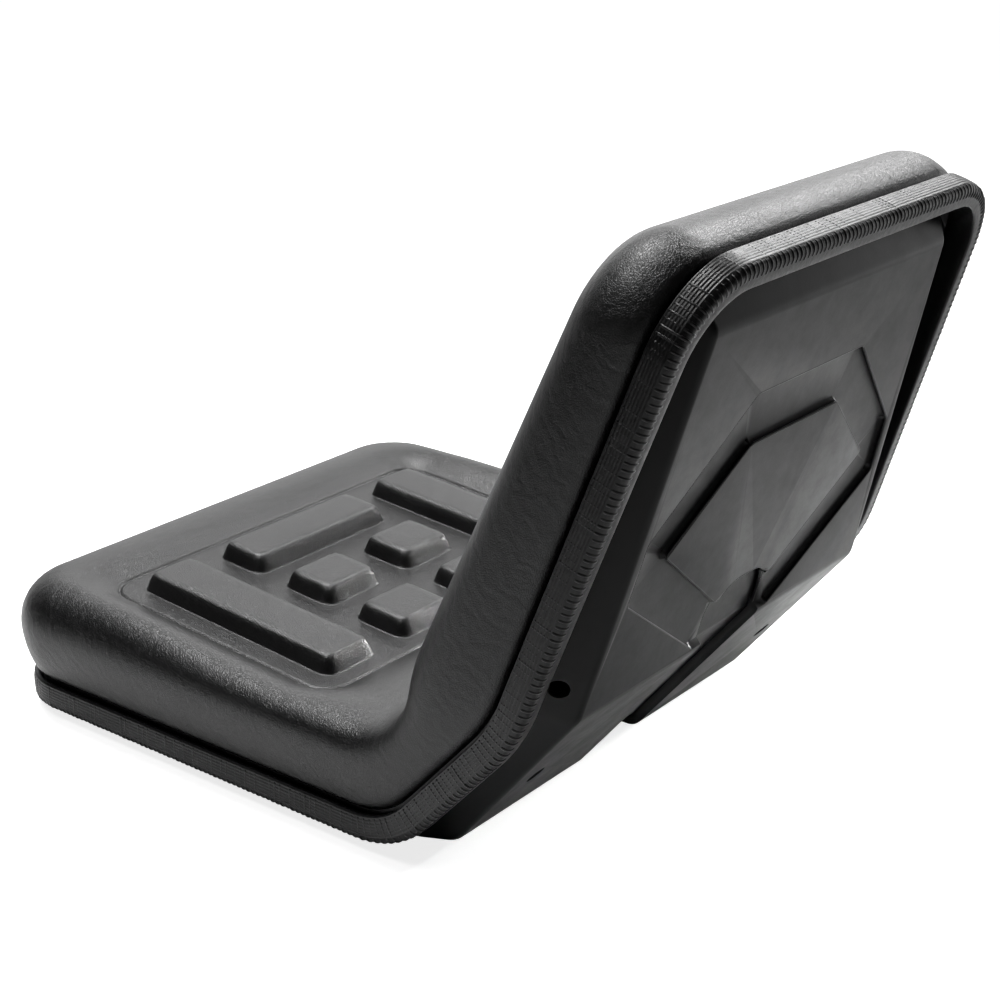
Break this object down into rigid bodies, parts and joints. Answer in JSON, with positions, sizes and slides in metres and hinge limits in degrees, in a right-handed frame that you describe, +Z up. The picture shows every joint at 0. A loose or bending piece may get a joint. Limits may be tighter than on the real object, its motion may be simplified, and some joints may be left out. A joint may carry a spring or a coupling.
{
  "type": "tractor seat",
  "caption": "Bucket seat for a garden tractor: moulded vinyl foam cushion with raised blocks on a pressed steel pan, push-on edging round the rim and weld nuts for mounting.",
  "frame": {"origin": "centre of the mounting bolt pattern, on the underside of the pan", "axes": "+Z up, front of the seat toward -Y, sitter's left toward +X"},
  "size_m": [0.446, 0.5868, 0.4216],
  "materials": {
    "pan_paint": "satin",
    "trim_vinyl": "satin",
    "nut_steel": "satin",
    "cushion_vinyl": "satin"
  },
  "bodies": {
    "root": {"steel_pan": "pan_paint", "edge_trim": "trim_vinyl", "weld_nuts": "nut_steel", "cushion": "cushion_vinyl"}
  },
  "joints": []
}
